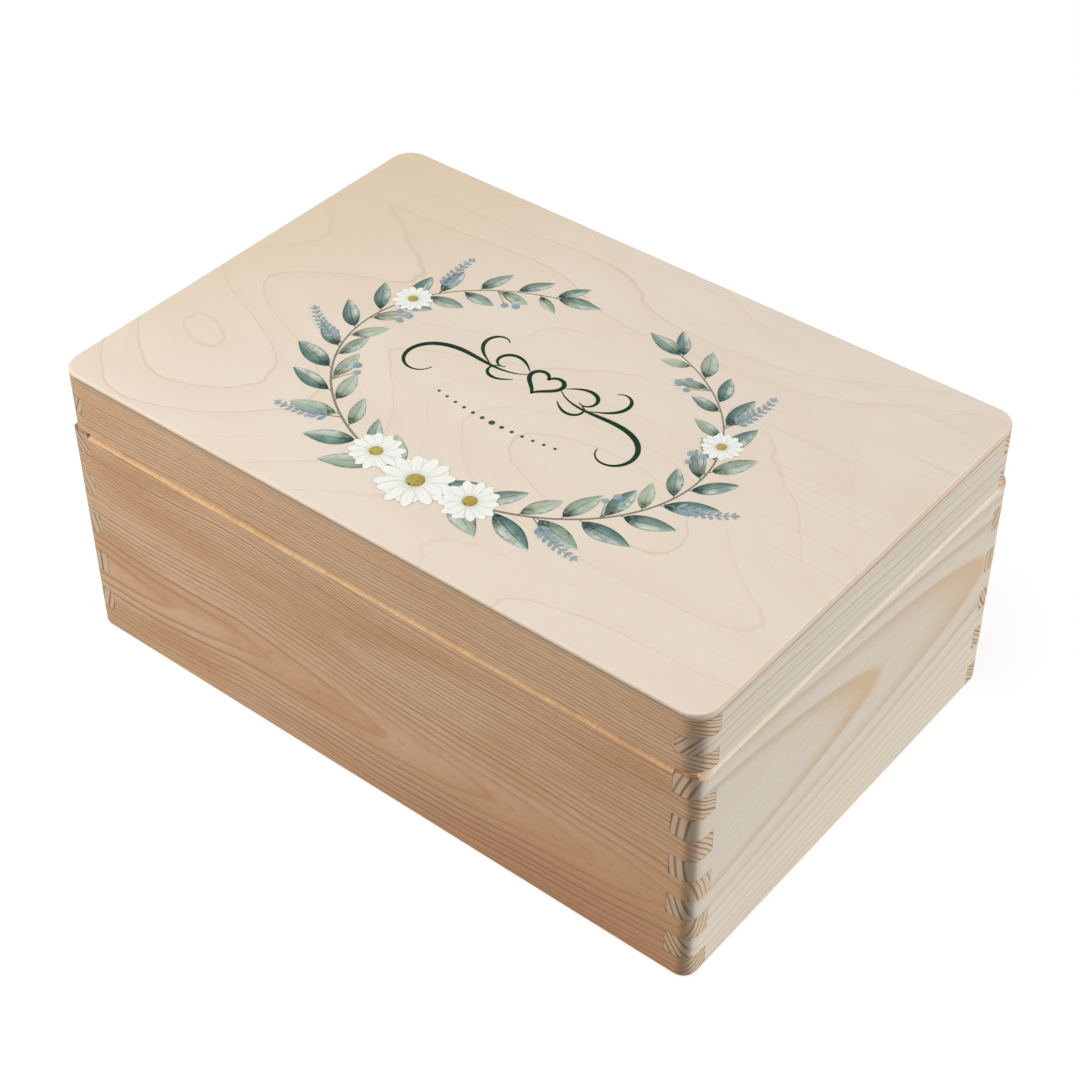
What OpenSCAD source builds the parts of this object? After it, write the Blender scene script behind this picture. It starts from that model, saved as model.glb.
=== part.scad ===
// Keepsake box: four pine boards and four pine rails with finger-jointed
// corners, a plywood base in a groove, a plywood panel on the lid, and a lid
// that swings on two small butt hinges let into the back.
// Millimetres. Origin on the table under the middle of the box, +Z up,
// front towards -Y, the long side along X.

/* [Box] */
// Outer width of the box, left to right
box_w = 300; // [220:1:400]
// Outer depth of the box, front to back
box_d = 200; // [140:1:300]
// Height of the lower part, from the table to its top edge
body_h = 104; // [70:1:180]
// Thickness of the pine boards and rails
board_t = 10.5; // [9:0.5:14]
// Radius of the body's upright corners
body_corner_r = 6; // [4:0.5:9]
// Radius of the rounded edge round the underside
foot_round = 2; // [1:0.25:3]
// Bevel along the top outer edge of each body board
seam_bevel = 2.8; // [2:0.1:3.5]
// Bevel on the end grain of the top fingers
end_bevel = 1.2; // [0.6:0.1:1.6]

/* [Lid] */
// Height of the lid's pine rails
rail_h = 24; // [18:0.5:40]
// Radius of the lid's upright corners
lid_corner_r = 9.5; // [6:0.5:10]
// Radius that softens the lower edge of the rails
rail_edge_round = 0.4; // [0.2:0.1:1]
// Thickness of the plywood panel on the lid
lid_panel_t = 3; // [2.5:0.5:6]
// Radius of the rounded edge round the top
top_round = 1; // [0.5:0.25:2.25]
// Gap between the closed lid and the body
seam_gap = 0.3; // [0.2:0.05:0.6]

/* [Finger joints] */
// Height of a finger in the body's corners; the end fingers take up the rest
body_finger = 10.2; // [8:0.1:14]
// Height of the middle finger in the lid's corners
lid_finger = 8; // [5:0.5:12]

/* [Base] */
// Thickness of the plywood base
base_t = 3; // [2.5:0.5:6]
// Height of the base's underside above the table
base_lift = 5; // [3:0.5:12]
// Depth of the groove that holds the base
groove_depth = 4; // [2:0.5:6]
// Room left round the base at the bottom of its groove
groove_room = 0.4; // [0.2:0.1:1]

/* [Hinges] */
// Length of a hinge along its pin
hinge_l = 25; // [20:1:40]
// Distance from the side of the box to the middle of a hinge
hinge_inset = 55; // [35:1:80]
// Width of a leaf from the middle of the pin to its free edge
leaf_w = 7; // [6.5:0.25:8]
// Thickness of a leaf
leaf_t = 1; // [0.8:0.05:1.2]
// Outer radius of the knuckles
knuckle_r = 1.5; // [1.4:0.05:1.8]
// Number of knuckles that the two leaves share
knuckle_count = 5; // [3:2:7]
// Gap between neighbouring knuckles
knuckle_gap = 0.2; // [0.1:0.05:0.4]
// Radius of the hinge pin
pin_r = 0.8; // [0.6:0.05:1]
// Radius of the flattened heads of the pin
pin_head_r = 1.15; // [1.05:0.05:1.35]
// Thickness of the flattened heads of the pin
pin_head_t = 0.4; // [0.3:0.05:0.8]
// How far the knuckles lie inside the back of the box
knuckle_setback = 0.1; // [0.05:0.05:0.4]

/* [Screws] */
// Distance between the two screws of a leaf
screw_spacing = 14; // [10:0.5:18]
// Length of a screw with its head
screw_l = 9; // [6:0.5:12]
// Radius of the screw's shank
screw_r = 1; // [0.8:0.05:1.2]
// Radius of the countersunk head
screw_head_r = 1.8; // [1.6:0.05:2]
// Height of the rim round the head, above its cone
screw_rim_h = 0.1; // [0.05:0.05:0.15]
// Length of the screw's point
screw_tip_l = 2; // [1:0.25:3]
// Width of the arms of the cross recess
recess_w = 0.45; // [0.3:0.05:0.6]
// Depth of the cross recess
recess_depth = 0.5; // [0.3:0.05:0.6]

/* [Fits] */
// Room round the pin in its knuckles
pin_fit = 0.05; // [0.02:0.01:0.1]
// Room round a screw in its hole
screw_fit = 0.05; // [0.02:0.01:0.1]
// Room round the knuckles in the wood and in the other leaf
swing_room = 0.25; // [0.15:0.05:0.4]
// Room round a leaf in its pocket
leaf_room = 0.1; // [0.05:0.05:0.3]
// How far a screw head lies under the face of its leaf
head_sink = 0.05; // [0.02:0.01:0.1]

/* [Hidden] */
$fn = 64;

// How far a cutter reaches past the face that it opens
over = 1;
// Heights of the lid's parts above the table
rail_z = body_h + seam_gap;
panel_z = rail_z + rail_h;
// Places of the hinges: the pin runs in the middle of the gap under the lid
hinge_x = box_w / 2 - hinge_inset;
hinge_y = box_d / 2 - knuckle_setback - knuckle_r;
hinge_z = body_h + seam_gap / 2;
knuckle_zone = hinge_l / knuckle_count;
// Screws stand in the middle of the flat of a leaf
screw_y = -(leaf_w + knuckle_r + swing_room) / 2;
// Radius of the end of a screw's point, and the reach of the cross recess
screw_tip_r = screw_r / 4;
recess_reach = screw_head_r * 0.66;

// Heights of the joint lines in a corner, from the bottom edge to the top edge
function finger_levels(height, finger, count) =
    let (end = (height - (count - 2) * finger) / 2)
    [0, for (i = [0 : count - 2]) end + i * finger, height];
// The body has an even number of fingers, so its top one belongs to the sides
body_finger_count = 2 * round(body_h / (2 * body_finger));
body_levels = finger_levels(body_h, body_finger, body_finger_count);
lid_levels = finger_levels(rail_h, lid_finger, 3);

PINE = [0.80, 0.68, 0.54];
PINE_SIDE = [0.82, 0.74, 0.63];
BIRCH_PLY = [0.91, 0.85, 0.76];
BRASS = [0.80, 0.65, 0.36];
STEEL = [0.62, 0.62, 0.64];

// ---- Shapes that repeat ----

// Half of an upright section through a block: from its middle out to one side,
// with a round foot and a round or bevelled crown
module half_section(reach, height, foot, crown, bevel) {
    cut = max(crown, bevel);
    intersection() {
        square([reach, height]);
        union() {
            polygon([
                [0, 0], [reach - foot, 0], [reach, foot],
                [reach, height - cut], [reach - cut, height], [0, height]
            ]);
            if (foot > 0)
                translate([reach - foot, foot]) circle(foot);
            if (crown > 0)
                translate([reach - crown, height - crown]) circle(crown);
        }
    }
}

// A bar with that section on both sides, lying along X
module block_bar(length, reach, height, foot, crown, bevel) {
    rotate([90, 0, 90])
        linear_extrude(length, center = true) {
            half_section(reach, height, foot, crown, bevel);
            mirror([1, 0]) half_section(reach, height, foot, crown, bevel);
        }
}

// A block with round upright corners whose foot and crown run round them too:
// two crossed bars, and a quarter turn of the same section in each corner
module round_block(height, corner_r, foot = 0, crown = 0, bevel = 0) {
    block_bar(box_w - 2 * corner_r, box_d / 2, height, foot, crown, bevel);
    rotate([0, 0, 90])
        block_bar(box_d - 2 * corner_r, box_w / 2, height, foot, crown, bevel);
    for (x = [0, 1], y = [0, 1])
        mirror([x, 0, 0]) mirror([0, y, 0])
            translate([box_w / 2 - corner_r, box_d / 2 - corner_r, 0])
                rotate_extrude(angle = 90)
                    half_section(corner_r, height, foot, crown, bevel);
}

// A board along X with its outer face at y = 0 and its inner face at y = board_t.
// The spaces for the neighbours' fingers start at level number first_gap.
module fingered_board(length, levels, first_gap) {
    top = len(levels) - 1;
    difference() {
        translate([-length / 2, 0, 0]) cube([length, board_t, levels[top]]);
        for (side = [-1, 1], i = [first_gap : 2 : top - 1]) {
            low = levels[i] - (i == 0 ? over : 0);
            high = levels[i + 1] + (i == top - 1 ? over : 0);
            translate([side * (length / 2 - board_t), -over, low])
                mirror([side < 0 ? 1 : 0, 0, 0])
                    cube([board_t + over, board_t + 2 * over, high - low]);
        }
    }
}

// Puts a board in its place on the front, on the back or on a side
module on_front() { translate([0, -box_d / 2, 0]) children(); }
module on_back() { mirror([0, 1, 0]) on_front() children(); }
module on_right() { translate([box_w / 2, 0, 0]) rotate([0, 0, 90]) children(); }
module on_left() { mirror([1, 0, 0]) on_right() children(); }

// Cutter for a 45 degree bevel along the edge at y = 0, z = 0
module bevel_bar(length, bevel) {
    rotate([90, 0, 90])
        linear_extrude(length + 2 * over, center = true)
            polygon([[-over, -bevel - over], [bevel + over, over], [-over, over]]);
}

// ---- Body ----

module body_outline() {
    round_block(body_h, body_corner_r, foot = foot_round, bevel = end_bevel);
}

// The base, grown by room on its four edges
module base_sheet(room) {
    w = box_w - 2 * (board_t - groove_depth) + 2 * room;
    d = box_d - 2 * (board_t - groove_depth) + 2 * room;
    translate([-w / 2, -d / 2, base_lift]) cube([w, d, base_t]);
}

// A front or back board: its fingers are the lowest ones
module long_board() {
    difference() {
        fingered_board(box_w, body_levels, 1);
        translate([0, 0, body_h]) bevel_bar(box_w, seam_bevel);
    }
}

// A side board: its fingers are the highest ones
module short_board() {
    difference() {
        fingered_board(box_d, body_levels, 0);
        translate([0, 0, body_h]) bevel_bar(box_d, seam_bevel);
    }
}

// Trims a body board to the outline of the body and grooves it for the base
module body_board() {
    difference() {
        intersection() {
            children();
            body_outline();
        }
        base_sheet(groove_room);
    }
}

module front_board() {
    color(PINE) body_board() on_front() long_board();
}

module back_board() {
    color(PINE)
        difference() {
            body_board() on_back() long_board();
            hinge_pockets();
        }
}

module left_board() {
    color(PINE_SIDE) body_board() on_left() short_board();
}

module right_board() {
    color(PINE_SIDE) body_board() on_right() short_board();
}

module base_panel() {
    color(BIRCH_PLY) base_sheet(0);
}

// ---- Lid ----

module lid_outline() {
    translate([0, 0, rail_z]) round_block(rail_h, lid_corner_r, foot = rail_edge_round);
}

// Trims a rail to the outline of the lid
module lid_rail() {
    intersection() {
        translate([0, 0, rail_z]) children();
        lid_outline();
    }
}

module lid_front_rail() {
    color(PINE) lid_rail() on_front() fingered_board(box_w, lid_levels, 1);
}

// The back rail has the bevel that lets the lid swing past the body
module lid_back_rail() {
    color(PINE)
        difference() {
            lid_rail() on_back() fingered_board(box_w, lid_levels, 1);
            on_back() translate([0, 0, rail_z]) mirror([0, 0, 1]) bevel_bar(box_w, seam_bevel);
            mirrored_up() hinge_pockets();
        }
}

module lid_left_rail() {
    color(PINE_SIDE) lid_rail() on_left() fingered_board(box_d, lid_levels, 0);
}

module lid_right_rail() {
    color(PINE_SIDE) lid_rail() on_right() fingered_board(box_d, lid_levels, 0);
}

module lid_panel() {
    color(BIRCH_PLY)
        translate([0, 0, panel_z]) round_block(lid_panel_t, lid_corner_r, crown = top_round);
}

// ---- Hinges ----
// A hinge is drawn round its pin, which runs along X. The body's leaf reaches
// towards -Y just under the pin, and the lid's leaf is its mirror image.

module at_hinge(side) {
    translate([side * hinge_x, hinge_y, hinge_z]) children();
}

// The mirror image above the middle of the gap under the lid
module mirrored_up() {
    translate([0, 0, 2 * hinge_z]) mirror([0, 0, 1]) children();
}

module along_x(length, r) {
    rotate([0, 90, 0]) cylinder(length, r = r, center = true);
}

// Knuckle number k, or the space for it when it is grown
module knuckle(k, r, grow = 0) {
    low = k == 0 ? 0 : knuckle_gap / 2;
    high = k == knuckle_count - 1 ? 0 : knuckle_gap / 2;
    start = -hinge_l / 2 + k * knuckle_zone + low - grow;
    length = knuckle_zone - low - high + 2 * grow;
    translate([start + length / 2, 0, 0]) along_x(length, r);
}

module at_screws() {
    for (x = [-1, 1])
        translate([x * screw_spacing / 2, screw_y, -seam_gap / 2]) children();
}

// The hole for a countersunk screw, through a leaf and into the wood
module screw_hole() {
    head_h = screw_head_r - screw_r;
    head_y = -head_sink - screw_rim_h;
    end_y = -head_sink - screw_l - screw_fit;
    rotate_extrude()
        polygon([
            [0, over], [screw_head_r + screw_fit, over], [screw_head_r + screw_fit, head_y],
            [screw_r + screw_fit, head_y - head_h], [screw_r + screw_fit, end_y], [0, end_y]
        ]);
}

// The body's leaf, with the knuckles first, first + 2 and so on
module leaf(first) {
    difference() {
        union() {
            difference() {
                translate([-hinge_l / 2, -leaf_w, -seam_gap / 2 - leaf_t])
                    cube([hinge_l, leaf_w, leaf_t]);
                for (k = [1 - first : 2 : knuckle_count - 1])
                    knuckle(k, knuckle_r + swing_room, knuckle_gap);
            }
            for (k = [first : 2 : knuckle_count - 1])
                knuckle(k, knuckle_r);
        }
        along_x(hinge_l + 2 * over, pin_r + pin_fit);
        at_screws() screw_hole();
    }
}

module pin() {
    along_x(hinge_l + 2 * pin_fit, pin_r);
    for (x = [-1, 1])
        translate([x * (hinge_l / 2 + pin_fit + pin_head_t / 2), 0, 0])
            along_x(pin_head_t, pin_head_r);
}

// A countersunk screw with a cross recess, its head at the top
module screw() {
    head_h = screw_head_r - screw_r;
    translate([0, 0, -head_sink])
        difference() {
            rotate_extrude()
                polygon([
                    [0, 0], [screw_head_r, 0], [screw_head_r, -screw_rim_h],
                    [screw_r, -screw_rim_h - head_h], [screw_r, screw_tip_l - screw_l],
                    [screw_tip_r, -screw_l], [0, -screw_l]
                ]);
            for (turn = [0, 90])
                rotate([0, 0, turn])
                    translate([-recess_reach, -recess_w / 2, -recess_depth])
                        cube([2 * recess_reach, recess_w, recess_depth + over]);
        }
}

// What the back board loses to one hinge: the leaf's pocket, the trough for
// the knuckles and the holes for the screws
module hinge_pocket() {
    pocket_depth = seam_gap / 2 + leaf_t;
    trough_l = hinge_l + 2 * (pin_fit + pin_head_t + leaf_room);
    translate([-hinge_l / 2 - leaf_room, -leaf_w - leaf_room, -pocket_depth])
        cube([hinge_l + 2 * leaf_room, leaf_w + leaf_room, pocket_depth + over]);
    along_x(trough_l, knuckle_r + swing_room);
    at_screws() screw_hole();
}

module hinge_pockets() {
    for (side = [-1, 1])
        at_hinge(side) hinge_pocket();
}

module left_hinge_body_leaf() { color(BRASS) at_hinge(-1) leaf(0); }
module right_hinge_body_leaf() { color(BRASS) at_hinge(1) leaf(0); }
module left_hinge_lid_leaf() { color(BRASS) mirrored_up() at_hinge(-1) leaf(1); }
module right_hinge_lid_leaf() { color(BRASS) mirrored_up() at_hinge(1) leaf(1); }
module left_hinge_pin() { color(STEEL) at_hinge(-1) pin(); }
module right_hinge_pin() { color(STEEL) at_hinge(1) pin(); }
module left_hinge_body_screws() { color(BRASS) at_hinge(-1) at_screws() screw(); }
module right_hinge_body_screws() { color(BRASS) at_hinge(1) at_screws() screw(); }
module left_hinge_lid_screws() { color(BRASS) mirrored_up() at_hinge(-1) at_screws() screw(); }
module right_hinge_lid_screws() { color(BRASS) mirrored_up() at_hinge(1) at_screws() screw(); }

front_board();
back_board();
left_board();
right_board();
base_panel();
lid_front_rail();
lid_back_rail();
lid_left_rail();
lid_right_rail();
lid_panel();
left_hinge_body_leaf();
right_hinge_body_leaf();
left_hinge_lid_leaf();
right_hinge_lid_leaf();
left_hinge_pin();
right_hinge_pin();
left_hinge_body_screws();
right_hinge_body_screws();
left_hinge_lid_screws();
right_hinge_lid_screws();
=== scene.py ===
"""Finishes a hinged pine keepsake box: its boards, plywood, brass hinges, the
garland printed on its lid, and the pale studio that it stands in."""

import math
import random
from collections import namedtuple

import bmesh
import bpy
from mathutils import Matrix, Vector


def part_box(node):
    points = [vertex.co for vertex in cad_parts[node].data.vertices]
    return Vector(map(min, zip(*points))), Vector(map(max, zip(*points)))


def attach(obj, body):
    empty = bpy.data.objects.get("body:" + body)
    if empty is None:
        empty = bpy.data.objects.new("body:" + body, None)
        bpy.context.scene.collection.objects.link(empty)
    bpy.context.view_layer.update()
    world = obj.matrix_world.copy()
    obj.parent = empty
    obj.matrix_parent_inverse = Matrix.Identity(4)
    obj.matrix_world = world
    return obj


bl_info = {
    "name": "Keepsake Box",
    "version": (1, 0, 0),
    "blender": (4, 5, 0),
    "location": "3D View > Sidebar > Keepsake Box",
    "description": "Finishes a hinged pine box with a garland printed on its lid",
    "category": "Object",
}

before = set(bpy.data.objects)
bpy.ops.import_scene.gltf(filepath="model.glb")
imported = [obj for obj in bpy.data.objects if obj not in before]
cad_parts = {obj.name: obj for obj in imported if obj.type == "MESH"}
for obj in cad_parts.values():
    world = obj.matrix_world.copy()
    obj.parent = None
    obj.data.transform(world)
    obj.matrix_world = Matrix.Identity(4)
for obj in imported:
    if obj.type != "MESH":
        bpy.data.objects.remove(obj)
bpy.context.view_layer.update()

# ---- Sizes, in millimetres ----

MM = 0.001


def low(node):
    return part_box(node)[0] / MM


def high(node):
    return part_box(node)[1] / MM


HALF_W = high("front_board").x
HALF_D = high("right_board").y
BOARD_T = HALF_D + high("front_board").y
BODY_TOP = high("right_board").z
RAIL_LOW = low("lid_right_rail").z
RAIL_TOP = high("lid_right_rail").z
LID_TOP = high("lid_panel").z
BASE_LOW = low("base_panel").z
BASE_TOP = high("base_panel").z

BODY_CORNER_R = 6
LID_CORNER_R = 9.5
SEAM_BEVEL = 2.8
BODY_FINGER = 10.2
BODY_FINGERS = 10
LID_FINGER = 8
LID_FINGERS = 3

PLATES = (
    "left_hinge_body_leaf", "right_hinge_body_leaf",
    "left_hinge_lid_leaf", "right_hinge_lid_leaf",
)
PINS = ("left_hinge_pin", "right_hinge_pin")
SCREWS = (
    "left_hinge_body_screws", "right_hinge_body_screws",
    "left_hinge_lid_screws", "right_hinge_lid_screws",
)


def paint(red, green, blue):
    """A colour given as a screen shows it, from 0 to 255, as linear light."""
    shown = [part / 255 for part in (red, green, blue)]
    return tuple(p / 12.92 if p <= 0.04045 else ((p + 0.055) / 1.055) ** 2.4 for p in shown)


def opaque(colour):
    return (*colour, 1.0)


WHITE = opaque((1, 1, 1))


# How a board was sawn from its log. The log's heart runs beside the board:
# heart_out is its place across the board and heart_up its height, both at the
# middle of the board, and lean is what it gains across on its way along it.
# Counted from the heart, ring number near_rings * r + crowding * r * r + count
# lies at the distance r. The wood within core is plain. The heart wanders, and
# the rings are uneven, each to its own degree.
Log = namedtuple(
    "Log", "along heart_out heart_up lean near_rings crowding count core wander uneven seed"
)
LOGS = {
    "front_board": Log("X", -117, 36, -0.054, 0.284, 0.0024, 0.3, 0, 1.0, 0.5, 3.1),
    "back_board": Log("X", 124, 66, 0.048, 0.27, 0.0026, 0.0, 0, 1.2, 0.9, 11.7),
    "right_board": Log("Y", 230, 67, 0.0456, -0.366, 0.0040, 0.5, 77.2, 0.3, 0.25, 23.4),
    "left_board": Log("Y", -222, 38, -0.043, -0.300, 0.0038, 0.0, 0, 0.4, 0.4, 37.9),
    "lid_front_rail": Log("X", -131, 52, -0.010, 0.250, 0.0026, 0.0, 0, 0.5, 0.4, 41.3),
    "lid_back_rail": Log("X", 126, 176, 0.014, 0.220, 0.0026, 0.0, 0, 0.8, 0.8, 53.6),
    "lid_right_rail": Log("Y", 214, 62, 0.032, 0.330, 0.0006, 0.0, 0, 0.6, 0.6, 67.2),
    "lid_left_rail": Log("Y", -219, 152, -0.020, 0.330, 0.0005, 0.0, 0, 0.8, 0.6, 71.8),
}


# ---- Sizes and colours that a user can change ----


def colour_choice(label, words, colour):
    return bpy.props.FloatVectorProperty(
        name=label, description=words, subtype="COLOR", size=3, min=0, max=1, default=colour
    )


def length_choice(label, words, metres):
    return bpy.props.FloatProperty(
        name=label, description=words, unit="LENGTH", subtype="DISTANCE", min=0, default=metres
    )


def share_choice(label, words, share):
    return bpy.props.FloatProperty(
        name=label, description=words, subtype="FACTOR", min=0, max=1, default=share
    )


class PineSettings(bpy.types.PropertyGroup):
    """Colours of the pine."""

    long_early: colour_choice(
        "Long boards, early wood", "Pale wood between the rings of the front and back",
        paint(212, 177, 141))
    long_late: colour_choice(
        "Long boards, late wood", "Dark line of each ring on the front and back",
        paint(160, 115, 77))
    long_arch: colour_choice(
        "Long boards, arches", "Wide soft bands where a ring lies flat in the wood",
        paint(188, 138, 94))
    long_warm: colour_choice(
        "Long boards, warm", "Reddish tone in parts of the front and back",
        paint(194, 146, 102))
    short_early: colour_choice(
        "Side boards, early wood", "Pale wood between the rings of the sides",
        paint(218, 208, 194))
    short_late: colour_choice(
        "Side boards, late wood", "Dark line of each ring on the sides",
        paint(190, 174, 151))
    short_arch: colour_choice(
        "Side boards, arches", "Wide soft bands where a ring lies flat in the wood",
        paint(206, 175, 137))
    short_warm: colour_choice(
        "Side boards, warm", "Warm tone in parts of the sides",
        paint(214, 197, 174))
    long_end: colour_choice(
        "Long boards, end grain", "Pale part of the end grain of the front and back",
        paint(214, 190, 162))
    long_end_late: colour_choice(
        "Long boards, end grain rings", "Rings in the end grain of the front and back",
        paint(142, 108, 78))
    short_end: colour_choice(
        "Side boards, end grain", "Pale part of the end grain of the sides",
        paint(200, 172, 142))
    short_end_late: colour_choice(
        "Side boards, end grain rings", "Rings in the end grain of the sides",
        paint(126, 93, 65))
    long_sawn: colour_choice(
        "Front bevel", "Fresh sawn wood of the bevel on the front and back",
        paint(240, 196, 140))
    short_sawn: colour_choice(
        "Side bevel", "Fresh sawn wood of the bevel on the sides",
        paint(253, 240, 218))
    # Darker orange of the bevel, which near the side boards' corners is also painted shade
    orange_and_shade: colour_choice(
        "Bevel, burnt", "Darker orange of the bevel near the corners",
        paint(200, 142, 92))
    # On the lid these lines also carry painted shade in its seams
    joint: colour_choice(
        "Joint lines", "Glue and dust in the lines between two boards",
        paint(120, 92, 66))
    roughness: share_choice("Roughness", "How matt the sanded pine is", 0.62)


class PlywoodSettings(bpy.types.PropertyGroup):
    """Colours of the birch plywood."""

    face: colour_choice("Face", "Pale birch of the face", paint(238, 223, 206))
    figure: colour_choice("Figure", "Faint lines of the figure", paint(214, 190, 162))
    shade: colour_choice("Shade", "Slightly darker fields of the face", paint(229, 212, 193))
    warm: colour_choice("Warm", "Yellower wood towards the left edge", paint(228, 206, 174))
    core: colour_choice("Core", "Middle layer, seen at the edge", paint(196, 170, 140))
    # Glue line under the lid's panel, also painted shade in its seam with the rails
    glue_and_seam_shade: colour_choice("Glue line", "Line under the panel", paint(140, 106, 77))
    roughness: share_choice("Roughness", "How matt the sanded birch is", 0.58)


class HingeSettings(bpy.types.PropertyGroup):
    """Metal of the hinges."""

    brass: colour_choice("Brass", "Plating of the leaves and screws", paint(222, 190, 122))
    tarnish: colour_choice("Tarnish", "Duller brass in places", paint(178, 140, 84))
    steel: colour_choice("Steel", "Pins of the hinges", paint(196, 196, 198))
    roughness: share_choice("Roughness", "How dull the metal is", 0.3)


class GarlandSettings(bpy.types.PropertyGroup):
    """The garland printed on the lid."""

    reach_x: length_choice("Half width", "From the middle of the lid to the stem, sideways", 0.079)
    reach_y: length_choice("Half height", "From the middle of the lid to the stem, upwards", 0.062)
    leaf_length: length_choice("Leaf", "Length of a full leaf", 0.023)
    flower_radius: length_choice("Flower", "Radius of the largest daisy", 0.0145)
    lift: length_choice("Ink thickness", "How far the ink lies above the wood", 0.00003)
    sage: colour_choice("Sage", "Grey-green of the leaves", paint(172, 186, 158))
    teal: colour_choice("Teal", "Blue-green of the leaves", paint(98, 130, 122))
    deep: colour_choice("Deep green", "Where the wash of a leaf has pooled", paint(20, 44, 36))
    pale: colour_choice("Pale green", "Where the wash of a leaf is thin", paint(226, 234, 222))
    dusty_blue: colour_choice("Dusty blue", "Sprigs and berries", paint(160, 182, 197))
    deep_blue: colour_choice("Deep blue", "Where the blue has pooled", paint(118, 144, 160))
    stem: colour_choice("Stem", "Thin stems", paint(152, 142, 120))
    petal: colour_choice("Petal", "White of the daisies", paint(251, 250, 243))
    petal_shade: colour_choice("Petal shade", "Folds of the petals", paint(196, 202, 188))
    eye: colour_choice("Eye", "Middle of the daisies", paint(208, 190, 100))
    deep_eye: colour_choice("Deep eye", "Where the yellow has pooled", paint(150, 122, 48))
    ink: colour_choice("Ink", "Scrolls in the middle", paint(12, 50, 28))
    dots: colour_choice("Dots", "Row of dots under the scrolls", paint(62, 88, 74))


class StageSettings(bpy.types.PropertyGroup):
    """Camera, lamps and floor."""

    azimuth: bpy.props.FloatProperty(
        name="Azimuth", description="Turn of the camera to the right of the front",
        unit="ROTATION", subtype="ANGLE", default=math.radians(38.897))
    elevation: bpy.props.FloatProperty(
        name="Elevation", description="Height of the camera above the horizon",
        unit="ROTATION", subtype="ANGLE", default=math.radians(41.219))
    roll: bpy.props.FloatProperty(
        name="Roll", description="Tilt of the camera about its own axis",
        unit="ROTATION", subtype="ANGLE", default=math.radians(-0.106))
    distance: length_choice("Distance", "From the camera to the box", 0.89)
    lens: bpy.props.FloatProperty(
        name="Lens", description="Focal length on a sensor 36 mm wide", min=10, default=76.1)
    floor: colour_choice("Floor", "Colour of the floor", paint(180, 180, 178))
    sky: share_choice("Sky", "Strength of the light from all round", 0.20)


class KeepsakeSettings(bpy.types.PropertyGroup):
    """All settings of the box."""

    pine: bpy.props.PointerProperty(type=PineSettings, name="Pine", description="The boards")
    plywood: bpy.props.PointerProperty(
        type=PlywoodSettings, name="Plywood", description="The panels")
    hinge: bpy.props.PointerProperty(type=HingeSettings, name="Hinge", description="The metal")
    garland: bpy.props.PointerProperty(
        type=GarlandSettings, name="Garland", description="The print on the lid")
    stage: bpy.props.PointerProperty(
        type=StageSettings, name="Stage", description="Camera, lamps and floor")


# ---- Shader maths ----


def find_socket(sockets, key):
    """A socket by its name, or by its place in the list, among those in use."""
    used = [socket for socket in sockets if socket.enabled]
    if isinstance(key, int):
        return used[key]
    return next(socket for socket in used if socket.name == key)


def arithmetic(operation, swapped=False):
    """A method of Wire that adds a Math node. Swapped puts the other value first."""
    def method(wire, other):
        values = (other, wire) if swapped else (wire, other)
        return wire.shader.maths(operation, *values)
    return method


class Wire:
    """An output of a shader node. Arithmetic on it adds Math nodes."""

    def __init__(self, shader, socket):
        self.shader = shader
        self.socket = socket

    __add__ = arithmetic("ADD")
    __radd__ = arithmetic("ADD", swapped=True)
    __sub__ = arithmetic("SUBTRACT")
    __rsub__ = arithmetic("SUBTRACT", swapped=True)
    __mul__ = arithmetic("MULTIPLY")
    __rmul__ = arithmetic("MULTIPLY", swapped=True)
    __truediv__ = arithmetic("DIVIDE")
    __rtruediv__ = arithmetic("DIVIDE", swapped=True)
    __pow__ = arithmetic("POWER")
    __rpow__ = arithmetic("POWER", swapped=True)
    at_least = arithmetic("MAXIMUM")
    at_most = arithmetic("MINIMUM")
    below = arithmetic("LESS_THAN")

    def __abs__(self):
        return self.shader.maths("ABSOLUTE", self)

    def fraction(self):
        return self.shader.maths("FRACT", self)

    def whole(self):
        return self.shader.maths("FLOOR", self)

    def rise(self, start, end):
        """0 at start and 1 at end, with a smooth change between them."""
        return self.shader.node(
            "ShaderNodeMapRange", {"interpolation_type": "SMOOTHSTEP"},
            {"Value": self, "From Min": start, "From Max": end})

    def bell(self, middle, width):
        """1 at middle, falling to 0 at width on either side."""
        return abs(self - middle).rise(width, 0)


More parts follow.
